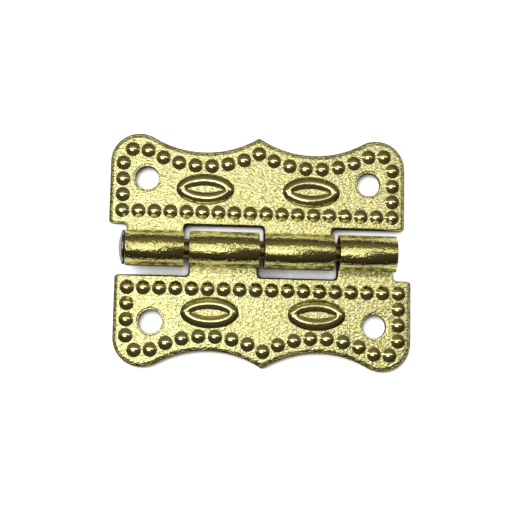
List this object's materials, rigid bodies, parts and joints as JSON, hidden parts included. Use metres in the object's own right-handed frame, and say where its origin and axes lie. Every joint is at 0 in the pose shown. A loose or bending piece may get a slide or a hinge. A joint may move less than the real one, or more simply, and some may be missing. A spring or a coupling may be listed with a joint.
{
  "type": "decorative hinge",
  "caption": "Flat ornamental butt hinge with scalloped leaves, raised bead borders, embossed ovals and knuckles rolled round a headed pin.",
  "frame": {"origin": "middle of the pin, projected onto the plane of the leaves' backs", "axes": "+X along the pin away from its head, +Y towards the leaf that swings, +Z out of the decorated faces"},
  "size_m": [0.0388, 0.03, 0.0046],
  "materials": {
    "brass_plate": "bright pale brass plating over a slightly orange-peel stamped sheet",
    "pin_steel": "dull grey steel"
  },
  "bodies": {
    "fixed_leaf": {"lower_leaf": "brass_plate"},
    "swinging_leaf": {"upper_leaf": "brass_plate", "hinge_pin": "pin_steel"}
  },
  "joints": [
    {"name": "leaf_swing", "type": "hinge", "parent": "fixed_leaf", "child": "swinging_leaf", "pos_m": [0, 0, 0.0023], "axis": [1, 0, 0], "range_deg": [-90, 180]}
  ]
}
